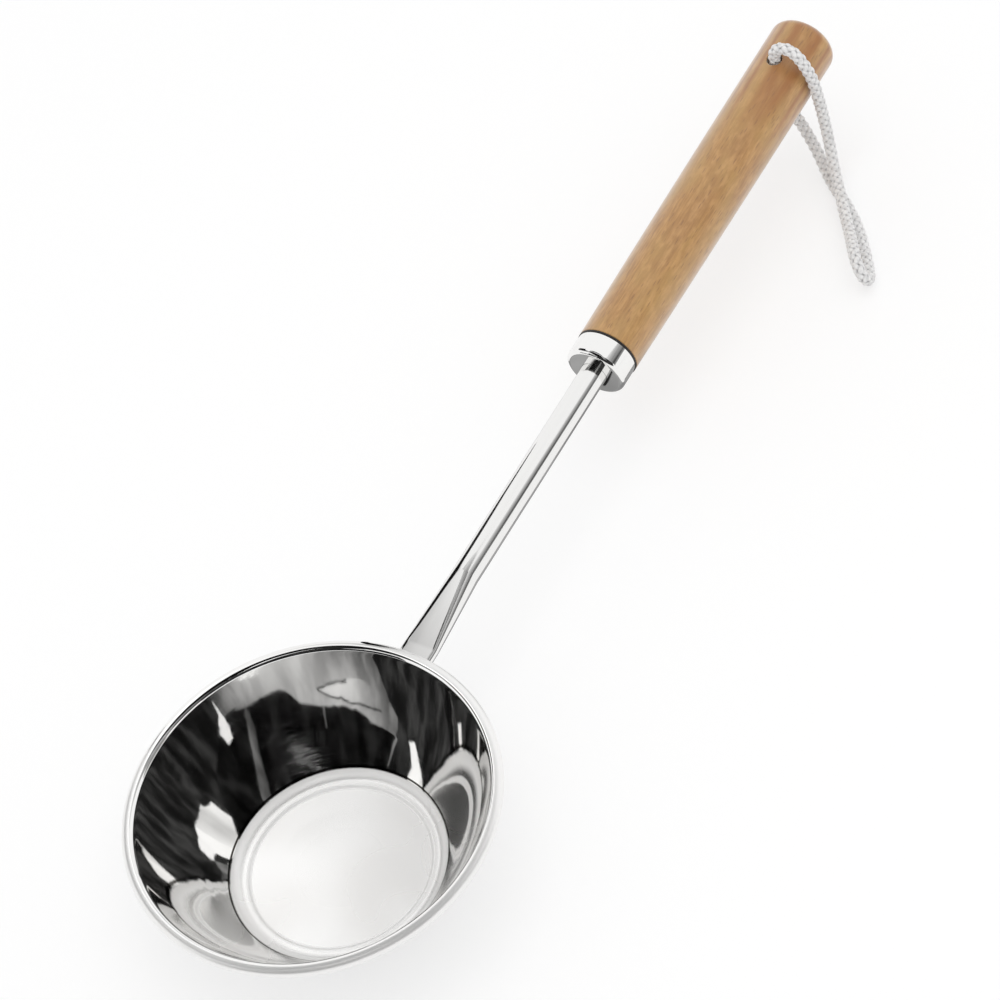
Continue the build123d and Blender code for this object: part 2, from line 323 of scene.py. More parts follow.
def place_piece(piece, node):
    """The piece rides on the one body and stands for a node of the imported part."""
    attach(piece, "root")
    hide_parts(node)
    return piece


# Bowl

def bowl_line(depth):
    """The sheet's section line, a depth below its inner face."""
    return trace((0, SHEET - depth), 0.0, (
        (disc_radius * 0.5,),
        (disc_radius * 0.5,),
        (step_radius + depth, STEP_SLOPE, STEP_STEPS),
        (step_radius - depth, -STEP_SLOPE, STEP_STEPS),
        (FOOT_RING_WIDTH - step_radius * math.sin(step_angle),),
        (KNEE_RADIUS + depth, SLOPE_LOW, KNEE_STEPS),
        (wall_radius + depth, SLOPE_HIGH - SLOPE_LOW, WALL_STEPS),
        (BEAD_RADIUS - depth, -BEAD_SWEEP, BEAD_STEPS),
    ))


def make_bowl():
    profile = bowl_line(0.0) + bowl_line(SHEET)[::-1]
    bowl = lathe("bowl_shell", profile, BOWL_SEGMENTS)
    return place_piece(bowl, "bowl")


# Stem

# Run down the tongue, for a section that isn't on it
OFF_TONGUE = -1.0

# A section's shape: half its flat width, half its thickness, the rise of its upper and
# of its lower side over the flat, and half its width
round_shape = (
    STEM_RADIUS * math.sin(FACET_HALF_ANGLE),
    STEM_RADIUS * math.cos(FACET_HALF_ANGLE),
    STEM_RADIUS * (1 - math.cos(FACET_HALF_ANGLE)),
    STEM_RADIUS * (1 - math.cos(FACET_HALF_ANGLE)),
    STEM_RADIUS,
)


def pressed_shape(thickness, top_crown, bottom_crown):
    """Shape of the tube pressed to a thickness, its girth kept."""
    half_width = (thickness + math.pi * (2 * STEM_RADIUS - thickness) / 2) / 2
    return (half_width - thickness / 2, thickness / 2, top_crown, bottom_crown, half_width)


flat_shape = pressed_shape(FLAT_THICKNESS, FLAT_CROWN, FLAT_CROWN)

# The stem's line, in the upright plane along the handle
stem_along = Vector((math.cos(HANDLE_RISE), math.sin(HANDLE_RISE)))
stem_across = Vector((-math.sin(HANDLE_RISE), math.cos(HANDLE_RISE)))
rim_point = Vector((bead_circle, STEM_HEIGHT))
tongue_flat = math.pi * (2 * STEM_RADIUS - TONGUE_THICKNESS) / 4
tongue_bow = tongue_flat**2 * math.sin(slope_high) / (2 * wall_top.x)
tongue_radius = wall_radius + SHEET + TONGUE_GAP + TONGUE_THICKNESS / 2 - tongue_bow
bend_row = rim_point - stem_across * (FLAT_DROP + BEND_RADIUS)
to_row = bend_row - wall_centre
row_share = to_row.dot(stem_along)
bend_reach = tongue_radius + BEND_RADIUS
bend_start = -row_share + math.sqrt(row_share**2 - to_row.dot(to_row) + bend_reach**2)
bend_centre = bend_row + stem_along * bend_start
to_bend = (bend_centre - wall_centre).normalized()
tongue_slope = math.atan2(to_bend.x, -to_bend.y)


def blend(first, second, share):
    """The tuple that lies that share of the way from the first to the second."""
    return tuple(a + (b - a) * share for a, b in zip(first, second))


def arc_points(first, middle, last, steps):
    """Points from the first up to the last, along the arc through a middle point."""
    chord = last - first
    rise = middle - (first + last) / 2
    if rise.length < NO_RISE:
        return [first.lerp(last, step / steps) for step in range(steps)]
    half = chord.length / 2
    opening = 2 * math.atan2(rise.length, half)
    radius = half / math.sin(opening)
    points = []
    for step in range(steps):
        angle = opening * (2 * step / steps - 1)
        out = radius * (math.cos(angle) - math.cos(opening))
        along = radius * math.sin(angle)
        points.append((first + last) / 2 + chord.normalized() * along + rise.normalized() * out)
    return points


def section_points(shape):
    """Points round a section made of four arcs: top, right, bottom, left."""
    half_flat, half_height, top_crown, bottom_crown, half_width = shape
    top_left = Vector((-half_flat, half_height))
    top_right = Vector((half_flat, half_height))
    bottom_right = Vector((half_flat, -half_height))
    bottom_left = Vector((-half_flat, -half_height))
    top = Vector((0, half_height + top_crown))
    bottom = Vector((0, -half_height - bottom_crown))
    points = arc_points(top_left, top, top_right, FLAT_STEPS)
    points += arc_points(top_right, Vector((half_width, 0)), bottom_right, SIDE_STEPS)
    points += arc_points(bottom_right, bottom, bottom_left, FLAT_STEPS)
    points += arc_points(bottom_left, Vector((-half_width, 0)), top_left, SIDE_STEPS)
    return points


def straight_stations():
    """Sections of the round stem, of the flare and of the flat neck before the bend."""
    stations = []
    tang_shown = FERRULE_AT + FERRULE_LENGTH
    for step in range(ROUND_STEPS):
        at = tang_shown + (FLARE_START - tang_shown) * step / ROUND_STEPS
        stations.append((rim_point + stem_along * at, HANDLE_RISE, round_shape, OFF_TONGUE))
    for step in range(FLARE_STEPS + 1):
        share = step / FLARE_STEPS
        at = FLARE_START + (FLARE_END - FLARE_START) * share
        middle = rim_point + stem_along * at - stem_across * (FLAT_DROP * share)
        shape = blend(round_shape, flat_shape, share)
        stations.append((middle, HANDLE_RISE, shape, OFF_TONGUE))
    for step in range(1, NECK_STEPS):
        at = FLARE_END + (bend_start - FLARE_END) * step / NECK_STEPS
        middle = rim_point + stem_along * at - stem_across * FLAT_DROP
        stations.append((middle, HANDLE_RISE, flat_shape, OFF_TONGUE))
    return stations


def bend_stations():
    """Sections of the bend under the bead, which thins to the tongue."""
    stations = []
    for step in range(BEND_STEPS + 1):
        share = step / BEND_STEPS
        slope = HANDLE_RISE + (tongue_slope - HANDLE_RISE) * share
        middle = bend_centre + Vector((-math.sin(slope), math.cos(slope))) * BEND_RADIUS
        thickness = FLAT_THICKNESS + (TONGUE_THICKNESS - FLAT_THICKNESS) * share
        crown = FLAT_CROWN * (1 - share)
        bow = tongue_bow * share
        shape = pressed_shape(thickness, crown - bow, crown + bow)
        stations.append((middle, slope, shape, OFF_TONGUE))
    return stations


def tongue_shape(from_end):
    """Shape of the tongue at a distance from its end, where its corners are rounded."""
    half_flat, half_height, top, bottom, half_width = pressed_shape(
        TONGUE_THICKNESS, -tongue_bow, tongue_bow)
    if from_end < TONGUE_CORNER:
        lost = TONGUE_CORNER - math.sqrt(TONGUE_CORNER**2 - (TONGUE_CORNER - from_end)**2)
        kept = (half_flat - lost) / half_flat
        half_flat -= lost
        half_width -= lost
        top *= kept**2
        bottom *= kept**2
    return (half_flat, half_height, top, bottom, half_width)


def tongue_stations():
    """Sections of the tongue down the wall, closer together towards its end."""
    stations = []
    for step in range(1, TONGUE_STEPS + 1):
        share = math.sin(math.pi / 2 * step / TONGUE_STEPS)
        slope = tongue_slope - TONGUE_LENGTH * share / tongue_radius
        middle = wall_centre + outward(slope) * tongue_radius
        shape = tongue_shape(TONGUE_LENGTH * (1 - share))
        stations.append((middle, slope, shape, TONGUE_LENGTH * share))
    return stations


def stem_stations():
    """Place, slope, shape and run down the tongue of each section from the tang on."""
    return straight_stations() + bend_stations() + tongue_stations()


def dimple(run, side, high):
    """Depth of the welding electrode's marks in the tongue's outer face."""
    if high > 0:
        return 0.0
    depth = 0.0
    for spot in range(WELD_COUNT):
        away = math.hypot(run - WELD_START - WELD_PITCH * spot, side)
        depth += DIMPLE_DEPTH * max(0.0, 1 - (away / DIMPLE_RADIUS)**2)
    return depth


def make_stem():
    build = bmesh.new()
    rings = []
    for middle, slope, shape, run in stem_stations():
        up = Vector((-math.sin(slope), math.cos(slope)))
        ring = []
        for side, high in section_points(shape):
            high += dimple(run, side, high)
            place = (middle.x + up.x * high, side, middle.y + up.y * high)
            ring.append(build.verts.new(place))
        rings.append(ring)
    add_tube(build, rings)
    stem = finish_mesh("stem_tube", build, sharp=STEM_SHARP_ANGLE)
    return place_piece(stem, "stem")


# Ferrule, seat ring and handle

def make_ferrule():
    hole = STEM_RADIUS + STEM_CLEARANCE
    outer = trace((hole, FERRULE_AT), 0.0, (
        (FERRULE_RADIUS - FERRULE_EDGE - hole,),
        (FERRULE_EDGE, 90.0, FERRULE_EDGE_STEPS),
        (FERRULE_LENGTH - FERRULE_EDGE,),
    ))
    inner = trace((hole, FERRULE_AT + FERRULE_WALL), 0.0, (
        (FERRULE_RADIUS - FERRULE_EDGE - hole,),
        (FERRULE_EDGE - FERRULE_WALL, 90.0, FERRULE_EDGE_STEPS // 2),
        (FERRULE_LENGTH - FERRULE_EDGE,),
    ))
    ferrule = lathe("ferrule_cap", outer + inner[::-1], FERRULE_SEGMENTS, handle_frame)
    return place_piece(ferrule, "ferrule")


def make_ring():
    bore = FERRULE_RADIUS - FERRULE_WALL
    start = FERRULE_AT + FERRULE_LENGTH
    edge = RING_THICKNESS / 4
    profile = trace((bore, start), 0.0, (
        (RING_RADIUS - bore - edge,),
        (edge, 90.0, RING_EDGE_STEPS),
        (RING_THICKNESS - 2 * edge,),
        (edge, 90.0, RING_EDGE_STEPS),
        (RING_RADIUS - bore - edge,),
    ))
    ring = lathe("seat_ring_band", profile, RING_SEGMENTS, handle_frame)
    return place_piece(ring, "seat_ring")


def wood_radius(share):
    """The wood's radius at a share of its length from the joint."""
    swell = 4 * WOOD_BARREL * share * (1 - share)
    return WOOD_JOINT_RADIUS + (WOOD_END_RADIUS - WOOD_JOINT_RADIUS) * share + swell


def handle_profile():
    """The wood's outline, from the middle of its shoulder to the middle of its end."""
    profile = [(0.0, wood_start), (WOOD_JOINT_RADIUS - SHOULDER_EDGE, wood_start)]
    straight = WOOD_LENGTH - WOOD_EDGE
    for step in range(WOOD_STEPS + 1):
        along = SHOULDER_EDGE + (straight - SHOULDER_EDGE) * step / WOOD_STEPS
        profile.append((wood_radius(along / WOOD_LENGTH), wood_start + along))
    last = profile[-1][0]
    for step in range(1, WOOD_EDGE_STEPS + 1):
        angle = math.pi / 2 * step / WOOD_EDGE_STEPS
        profile.append((
            last - WOOD_EDGE * (1 - math.cos(angle)),
            wood_start + straight + WOOD_EDGE * math.sin(angle),
        ))
    profile.append((0.0, wood_end))
    return profile


def make_drill():
    """The cord hole with its chamfered mouths, as a solid that is cut from the wood."""
    start = wood_radius((hole_at - wood_start) / WOOD_LENGTH) - HOLE_CHAMFER
    reach = HOLE_CHAMFER + DRILL_OVERRUN
    profile = [
        (0.0, -start - reach),
        (HOLE_RADIUS + reach, -start - reach),
        (HOLE_RADIUS, -start),
        (HOLE_RADIUS, start),
        (HOLE_RADIUS + reach, start + reach),
        (0.0, start + reach),
    ]
    up_at_hole = Matrix.Translation((0, 0, hole_at)) @ Matrix.Rotation(math.pi / 2, 4, "Y")
    return lathe("drill", profile, HOLE_SEGMENTS, handle_frame @ up_at_hole, closed=False)


def make_handle():
    handle = lathe("beech_handle", handle_profile(), WOOD_SEGMENTS, handle_frame, closed=False)
    drill = make_drill()
    cut = handle.modifiers.new("cord hole", "BOOLEAN")
    cut.operation = "DIFFERENCE"
    cut.object = drill
    cut.solver = "EXACT"
    mesh = evaluated_mesh(handle)
    handle.modifiers.clear()
    handle.data = mesh
    mesh.set_sharp_from_angle(angle=math.radians(SHARP_ANGLE))
    bpy.data.objects.remove(drill)
    return place_piece(handle, "handle")


# Hanging cord

STRANDS_EACH_WAY = 4
STRAND_RADIUS = 0.95 * MM
STRAND_WIDTH = 1.05
STRAND_HEIGHT = 0.85
STRAND_CIRCLE = 1.36 * MM
STRAND_SIDES = 10
STRAND_STEP = 0.35 * MM
WEAVE_DEPTH = 0.28 * MM
BRAID_PITCH = 13.0 * MM
ROUTE_FINENESS = 24


def cord_line():
    """Evenly spaced points along the smooth curve that the route's points control."""
    curve = bpy.data.curves.new("cord_route", "CURVE")
    curve.dimensions = "3D"
    curve.resolution_u = ROUTE_FINENESS
    spline = curve.splines.new("NURBS")
    spline.points.add(len(CORD_ROUTE) - 1)
    for point, place in zip(spline.points, CORD_ROUTE):
        point.co = (place[0] * MM, place[1] * MM, place[2] * MM, 1.0)
    spline.order_u = 3
    spline.use_endpoint_u = True
    holder = bpy.data.objects.new("cord_route", curve)
    bpy.context.collection.objects.link(holder)
    mesh = evaluated_mesh(holder)
    points = [vertex.co.copy() for vertex in mesh.vertices]
    bpy.data.objects.remove(holder)
    bpy.data.meshes.remove(mesh)
    return evenly(points)


def evenly(points):
    """The line again, with points about a strand's step apart, and its length."""
    lengths = [0.0]
    for first, second in zip(points, points[1:]):
        lengths.append(lengths[-1] + (second - first).length)
    count = round(lengths[-1] / STRAND_STEP)
    even = []
    index = 0
    for step in range(count + 1):
        target = lengths[-1] * step / count
        while index < len(lengths) - 2 and lengths[index + 1] < target:
            index += 1
        share = (target - lengths[index]) / (lengths[index + 1] - lengths[index])
        even.append(points[index].lerp(points[index + 1], share))
    return even, lengths[-1]


def carried_sides(points):
    """At each point two sides of the line, turned as little as possible along it."""
    tangents = []
    for index in range(len(points)):
        before = points[max(index - 1, 0)]
        after = points[min(index + 1, len(points) - 1)]
        tangents.append((after - before).normalized())
    side = tangents[0].orthogonal().normalized()
    sides = []
    for tangent in tangents:
        side = (side - tangent * side.dot(tangent)).normalized()
        sides.append((side, tangent.cross(side)))
    return sides


def strand_line(points, sides, spacing, direction, strand):
    """Centre and outward direction of one strand of the braid at each point."""
    centres = []
    for index, (point, (side, other)) in enumerate(zip(points, sides)):
        along = index * spacing
        turn = direction * 2 * math.pi * along / BRAID_PITCH
        turn += 2 * math.pi * strand / STRANDS_EACH_WAY
        weave = math.cos(2 * math.pi * STRANDS_EACH_WAY * along / BRAID_PITCH)
        radius = STRAND_CIRCLE + direction * WEAVE_DEPTH * weave
        out = side * math.cos(turn) + other * math.sin(turn)
        centres.append((point + out * radius, out))
    return centres


def add_strand(build, points, centres):
    """One strand's tube, with each vertex's distance from the cord's line stored in it for the
    cord's painted groove shade.
    """
    height = build.verts.layers.float["strand_height"]
    rings = []
    for index, (centre, out) in enumerate(centres):
        before = centres[max(index - 1, 0)][0]
        after = centres[min(index + 1, len(centres) - 1)][0]
        heading = (after - before).normalized()
        across = heading.cross(out).normalized()
        ring = []
        for corner in range(STRAND_SIDES):
            angle = 2 * math.pi * corner / STRAND_SIDES
            offset = across * math.cos(angle) * STRAND_RADIUS * STRAND_WIDTH
            offset += out * math.sin(angle) * STRAND_RADIUS * STRAND_HEIGHT
            corner_point = build.verts.new(centre + offset)
            corner_point[height] = (centre + offset - points[index]).length
            ring.append(corner_point)
        rings.append(ring)
    add_tube(build, rings)


def make_cord():
    points, length = cord_line()
    sides = carried_sides(points)
    spacing = length / (len(points) - 1)
    build = bmesh.new()
    build.verts.layers.float.new("strand_height")
    for direction in (1, -1):  # right-hand and left-hand strands
        for strand in range(STRANDS_EACH_WAY):
            add_strand(build, points, strand_line(points, sides, spacing, direction, strand))
    cord = finish_mesh("hanging_cord", build, sharp=CORD_SHARP_ANGLE)
    place_piece(cord, "hang_cord")
    return cord


# Materials

class Shader:
    """Nodes of a material or world: most methods add one and return its output."""

    def __init__(self, name, world=False):
        library = bpy.data.worlds if world else bpy.data.materials
        self.owner = library.new(name)
        self.owner.use_nodes = True
        self.nodes = self.owner.node_tree.nodes
        self.links = self.owner.node_tree.links
        self.surface = self.nodes.get("Principled BSDF")

    @property
    def place(self):
        return self.nodes.new("ShaderNodeTexCoord").outputs["Object"]

    def put(self, socket, value):
        if isinstance(value, bpy.types.NodeSocket):
            self.links.new(value, socket)
        elif isinstance(value, tuple) and socket.type == "RGBA":
            socket.default_value = (*value, 1)
        else:
            socket.default_value = value

    def set(self, **values):
        for name, value in values.items():
            self.put(self.surface.inputs[name.replace("_", " ").title()], value)

    def math(self, operation, first, second=0.0, third=0.0):
        node = self.nodes.new("ShaderNodeMath")
        node.operation = operation
        self.put(node.inputs[0], first)
        self.put(node.inputs[1], second)
        self.put(node.inputs[2], third)
        return node.outputs[0]

    def length(self, x, y):
        squares = self.math("ADD", self.math("MULTIPLY", x, x), self.math("MULTIPLY", y, y))
        return self.math("SQRT", squares)

    def stretch(self, vector, scale):
        node = self.nodes.new("ShaderNodeVectorMath")
        node.operation = "MULTIPLY"
        self.put(node.inputs[0], vector)
        self.put(node.inputs[1], scale)
        return node.outputs[0]

    def axes(self, vector):
        node = self.nodes.new("ShaderNodeSeparateXYZ")
        self.put(node.inputs[0], vector)
        return node.outputs

    def vector(self, x, y, z):
        node = self.nodes.new("ShaderNodeCombineXYZ")
        self.put(node.inputs[0], x)
        self.put(node.inputs[1], y)
        self.put(node.inputs[2], z)
        return node.outputs[0]

    def noise(self, vector, scale, detail=2.0, roughness=0.5, distortion=0.0):
        node = self.nodes.new("ShaderNodeTexNoise")
        self.put(node.inputs["Vector"], vector)
        self.put(node.inputs["Scale"], scale)
        self.put(node.inputs["Detail"], detail)
        self.put(node.inputs["Roughness"], roughness)
        self.put(node.inputs["Distortion"], distortion)
        return node.outputs[0]

    def cells(self, vector, scale):
        node = self.nodes.new("ShaderNodeTexVoronoi")
        self.put(node.inputs["Vector"], vector)
        self.put(node.inputs["Scale"], scale)
        return node.outputs

    def span(self, value, low, high, to_low=0.0, to_high=1.0, smooth=True):
        node = self.nodes.new("ShaderNodeMapRange")
        node.interpolation_type = "SMOOTHSTEP" if smooth else "LINEAR"
        self.put(node.inputs["Value"], value)
        self.put(node.inputs["From Min"], low)
        self.put(node.inputs["From Max"], high)
        self.put(node.inputs["To Min"], to_low)
        self.put(node.inputs["To Max"], to_high)
        return node.outputs["Result"]

    def mix(self, share, first, second):
        node = self.nodes.new("ShaderNodeMix")
        node.data_type = "RGBA"
        self.put(node.inputs[0], share)
        self.put(node.inputs[6], first)
        self.put(node.inputs[7], second)
        return node.outputs[2]

    def bump(self, height, depth, under=None):
        node = self.nodes.new("ShaderNodeBump")
        self.put(node.inputs["Distance"], depth)
        self.put(node.inputs["Height"], height)
        if under is not None:
            self.put(node.inputs["Normal"], under)
        return node.outputs[0]

    def attribute(self, name):
        node = self.nodes.new("ShaderNodeAttribute")
        node.attribute_name = name
        return node.outputs["Fac"]

    def rays(self, *kinds):
        """1 for a ray of any of those kinds, and 0 for every other."""
        paths = self.nodes.new("ShaderNodeLightPath")
        found = 0.0
        for kind in kinds:
            found = self.math("MAXIMUM", found, paths.outputs[kind])
        return found


STEEL = (0.90, 0.895, 0.885)
SATIN_STEEL = (0.93, 0.925, 0.915)
WORN_STEEL = (0.90, 0.89, 0.875)
DULL_STEEL = (0.84, 0.835, 0.825)
# Colour of a painted dark reflection: a nearly black line just outside the satin floor
PAINTED_DARK_LINE = (0.06, 0.055, 0.05)
SATIN_RADIUS = 39.3 * MM
FAR_SIDE = math.radians(50.0)
LINES_ACROSS = 2600.0
LINES_ROUND = 2.2


def bowl_steel():
    """Mirror-polished wall and rim round a satin floor, both marked by the spinning, with painted
    light and shade: a dark line just outside the floor, a pale near rim and a light ring at the
    crease and knee.
    """
    shader = Shader("bowl_steel")
    x, y, z = shader.axes(shader.place)
    across = shader.length(x, y)
    angle = shader.math("ARCTAN2", y, x)
    satin = shader.span(across, SATIN_RADIUS - 0.3 * MM, SATIN_RADIUS + 0.3 * MM, 1.0, 0.0)
    rim = shader.span(across, bead_circle - 0.3 * BEAD_RADIUS, bead_circle - 0.05 * BEAD_RADIUS)
    lines_across = shader.math("MULTIPLY", across, LINES_ACROSS)
    lines_round = shader.math("MULTIPLY", angle, LINES_ROUND)
    rings = shader.noise(shader.vector(lines_across, lines_round, z), 1.0, 3.0)
    cloud = shader.noise(shader.place, 26.0, 1.0)
    polished = shader.span(rings, 0.3, 0.75, 0.02, 0.055)
    # Painted light on the rim: all but its far side is hazy and part matte, so that the white base
    # colour shows and it reads pale, as if lit
    facing = shader.math("COSINE", shader.math("SUBTRACT", angle, FAR_SIDE))
    painted_pale_near_rim_haze = shader.span(facing, 0.66, 0.80, 0.36, 0.05)
    polished = shader.mix(rim, polished, painted_pale_near_rim_haze)
    brushed = shader.span(cloud, 0.3, 0.7, 0.25, 0.28)
    # Painted light ring: the satin floor turns nearly matte white at the step's crease and at the
    # knee, and reads there as a light ring
    from_step = shader.math("ABSOLUTE", shader.math("SUBTRACT", across, step_middle))
    crease = shader.span(from_step, 0.6 * MM, 1.2 * MM, 1.0, 0.0)
    knee = shader.span(across, knee_foot, knee_foot + KNEE_RADIUS / 2)
    floor_metal_painted_light_ring = shader.span(shader.math("MAXIMUM", crease, knee), 0.0, 1.0, 0.95, 0.08, False)
    # Painted dark reflection: a thin nearly black line in the base colour, half a millimetre
    # outside the satin floor
    from_painted_line = shader.math("ABSOLUTE", shader.math("SUBTRACT", across, SATIN_RADIUS + 0.5 * MM))
    painted_dark_line = shader.span(from_painted_line, 0.15 * MM, 0.35 * MM, 1.0, 0.0)
    # Less metal on the hazy near rim, which lets its painted paleness show
    rim_metal = shader.span(rim, 0.0, 1.0, 1.0, 0.62)
    polished_metal = shader.span(painted_pale_near_rim_haze, 0.05, 0.36, 1.0, rim_metal)
    waves = shader.noise(shader.stretch(shader.place, (1.0, 1.0, 1.4)), 34.0, 2.0, 0.45, 0.6)
    planished = shader.bump(waves, 0.10 * MM)
    turned = shader.bump(rings, 0.003 * MM, planished)
    worn = shader.mix(shader.span(cloud, 0.35, 0.7), SATIN_STEEL, WORN_STEEL)
    shader.set(
        base_color=shader.mix(painted_dark_line, shader.mix(satin, STEEL, worn), PAINTED_DARK_LINE),
        metallic=shader.span(satin, 0.0, 1.0, polished_metal, floor_metal_painted_light_ring),
        roughness=shader.mix(satin, polished, brushed),
        normal=turned,
    )
    return shader.owner


def drawn_steel():
    """Polished steel of the stem, with fine lines along it."""
    shader = Shader("stem_steel")
    lines = shader.noise(shader.stretch(shader.place, (18.0, 900.0, 900.0)), 1.0, 3.0)
    cloud = shader.noise(shader.place, 45.0, 2.0)
    waves = shader.bump(cloud, 0.12 * MM)
    shader.set(
        base_color=shader.mix(lines, DULL_STEEL, STEEL),
        metallic=1.0,
        roughness=shader.span(lines, 0.3, 0.7, 0.07, 0.14),
        normal=shader.bump(lines, 0.004 * MM, waves),
    )
    return shader.owner


def turned_steel():
    """Mirror-polished ferrule with the finest marks round it."""
    shader = Shader("ferrule_steel")
    x, y, z = shader.axes(shader.place)
    marks = shader.vector(shader.math("MULTIPLY", z, 4000.0), shader.math("ARCTAN2", y, x), 0.0)
    lines = shader.noise(marks, 1.0, 2.0)
    shader.set(
        base_color=STEEL,
        metallic=1.0,
        roughness=shader.span(lines, 0.3, 0.7, 0.03, 0.07),
        normal=shader.bump(lines, 0.003 * MM),
    )
    return shader.owner


def weld_steel():
    """Dull weld metal, browned by the heat."""
    shader = Shader("weld_steel")
    heat = shader.noise(shader.place, 900.0, 3.0)
    shader.set(
        base_color=shader.mix(heat, (0.42, 0.36, 0.30), (0.62, 0.60, 0.57)),
        metallic=1.0,
        roughness=0.42,
        normal=shader.bump(heat, 0.05 * MM),
    )
    return shader.owner


def nearly_black_band():
    """Nearly black band with a fine grit."""
    shader = Shader("nearly_black_band")
    grit = shader.noise(shader.place, 2600.0, 3.0)
    shader.set(
        base_color=shader.mix(grit, (0.004, 0.003, 0.003), (0.016, 0.012, 0.010)),
        roughness=shader.span(grit, 0.2, 0.8, 0.38, 0.55),
        normal=shader.bump(grit, 0.02 * MM),
    )
    return shader.owner


BEECH_DARK = (0.335, 0.157, 0.037)
BEECH_PALE = (0.492, 0.256, 0.073)
BEECH_BAND = (0.315, 0.140, 0.033)
BEECH_PATCH = (0.445, 0.255, 0.070)
BEECH_MOTTLE = (0.570, 0.314, 0.108)
BEECH_HEART = (0.320, 0.108, 0.012)
BEECH_PORE = (0.245, 0.108, 0.034)
BEECH_FLECK = (0.235, 0.102, 0.032)
PITH_X = 31 * MM
PITH_Y = 17 * MM
BAND_RADIANS_PER_METRE = 2300.0
HEART_START = hole_at - 45 * MM
HEART_FULL = hole_at - 5 * MM


def growth_bands(shader, x, y):
    """0 to 1 across the year rings round a pith outside the handle, which wander a little."""
    drift = shader.noise(shader.stretch(shader.place, (60.0, 60.0, 7.0)), 1.0, 2.0)
    from_pith = shader.length(shader.math("ADD", x, PITH_X), shader.math("ADD", y, PITH_Y))
    steady = shader.math("MULTIPLY", from_pith, BAND_RADIANS_PER_METRE)
    age = shader.math("ADD", steady, shader.math("MULTIPLY", drift, 9.0))
    wave = shader.math("MULTIPLY_ADD", shader.math("SINE", age), 0.5, 0.5)
    return shader.math("POWER", wave, 2.5)


def ray_flecks(shader):
    """1 on the short dark flecks of the wood, and 0 between them."""
    spots = shader.cells(shader.stretch(shader.place, (1250.0, 1250.0, 170.0)), 1.0)
    picked = shader.span(shader.axes(spots["Color"])[0], 0.50, 0.57)
    return shader.math("MULTIPLY", shader.span(spots["Distance"], 0.16, 0.34, 1.0, 0.0), picked)


def beech_wood():
    """Steamed beech under clear lacquer: faint growth bands, fine grain and flecks."""
    shader = Shader("beech_wood")
    x, y, z = shader.axes(shader.place)
    band = growth_bands(shader, x, y)
    fleck = ray_flecks(shader)
    grain = shader.noise(shader.stretch(shader.place, (1500.0, 1500.0, 110.0)), 1.0, 4.0, 0.65)
    pores = shader.noise(shader.stretch(shader.place, (4200.0, 4200.0, 420.0)), 1.0, 2.0)
    mottle = shader.noise(shader.stretch(shader.place, (420.0, 420.0, 160.0)), 1.0, 3.0)
    patches = shader.noise(shader.stretch(shader.place, (130.0, 130.0, 45.0)), 1.0, 2.0)
    heart = shader.span(z, HEART_START, HEART_FULL, 0.0, 0.75)

    colour = shader.mix(shader.span(grain, 0.28, 0.72), BEECH_DARK, BEECH_PALE)
    colour = shader.mix(shader.math("MULTIPLY", band, 0.38), colour, BEECH_BAND)
    colour = shader.mix(shader.span(patches, 0.35, 0.65, 0.0, 0.60), colour, BEECH_PATCH)
    colour = shader.mix(shader.span(mottle, 0.45, 0.70, 0.0, 0.50), colour, BEECH_MOTTLE)
    colour = shader.mix(shader.math("MULTIPLY", heart, band), colour, BEECH_HEART)
    colour = shader.mix(shader.span(pores, 0.60, 0.78, 0.0, 0.45), colour, BEECH_PORE)
    colour = shader.mix(shader.math("MULTIPLY", fleck, 0.62), colour, BEECH_FLECK)
    dents = shader.bump(pores, 0.02 * MM)
    shader.set(
        base_color=colour,
        roughness=shader.span(grain, 0.2, 0.8, 0.52, 0.40),
        normal=shader.bump(grain, 0.012 * MM, dents),
        coat_weight=0.65,
        coat_roughness=0.30,
        sheen_weight=0.60,
        sheen_roughness=0.45,
    )
    return shader.owner


# Grey of the painted shade in the grooves between the strands
PAINTED_GROOVE_SHADE = (0.40, 0.395, 0.40)
YARN_GREY = (0.69, 0.685, 0.685)
YARN_WHITE = (0.85, 0.845, 0.84)


def cord_cotton():
    """White yarn: soft fibres, and painted shade in dark grey where the strands dip."""
    shader = Shader("cord_cotton")
    fibre = shader.noise(shader.stretch(shader.place, (5200.0, 5200.0, 2600.0)), 1.0, 3.0, 0.65)
    tuft = shader.noise(shader.place, 700.0, 2.0)
    tufted_tone = shader.mix(shader.span(tuft, 0.3, 0.7), YARN_GREY, YARN_WHITE)
    # Painted shade: the yarn turns grey wherever its surface lies close to the cord's line, down in
    # the grooves between strands
    depth = shader.span(shader.attribute("strand_height"), 1.75 * MM, 2.25 * MM)
    shader.set(
        base_color=shader.mix(depth, PAINTED_GROOVE_SHADE, tufted_tone),
        roughness=0.85,
        normal=shader.bump(fibre, 0.10 * MM),
        sheen_weight=0.25,
        sheen_roughness=0.6,
    )
    return shader.owner


def dress(piece, material):
    piece.data.materials.clear()
    piece.data.materials.append(material)


# World, floor and lamp

WORLD_LIGHT = 0.88
FLOOR_COLOUR = (0.95, 0.95, 0.95)
FLOOR_PLAIN_WHITE = 0.6
FLOOR_HALF_WIDTH = 3.0
FLOOR_DROP = 0.2 * MM
LAMP_PLACE = (0.2, -0.2, 1.5)
LAMP_TARGET = (0.15, 0.0, 0.02)
LAMP_SIZE = 1.4
LAMP_POWER = 5.5


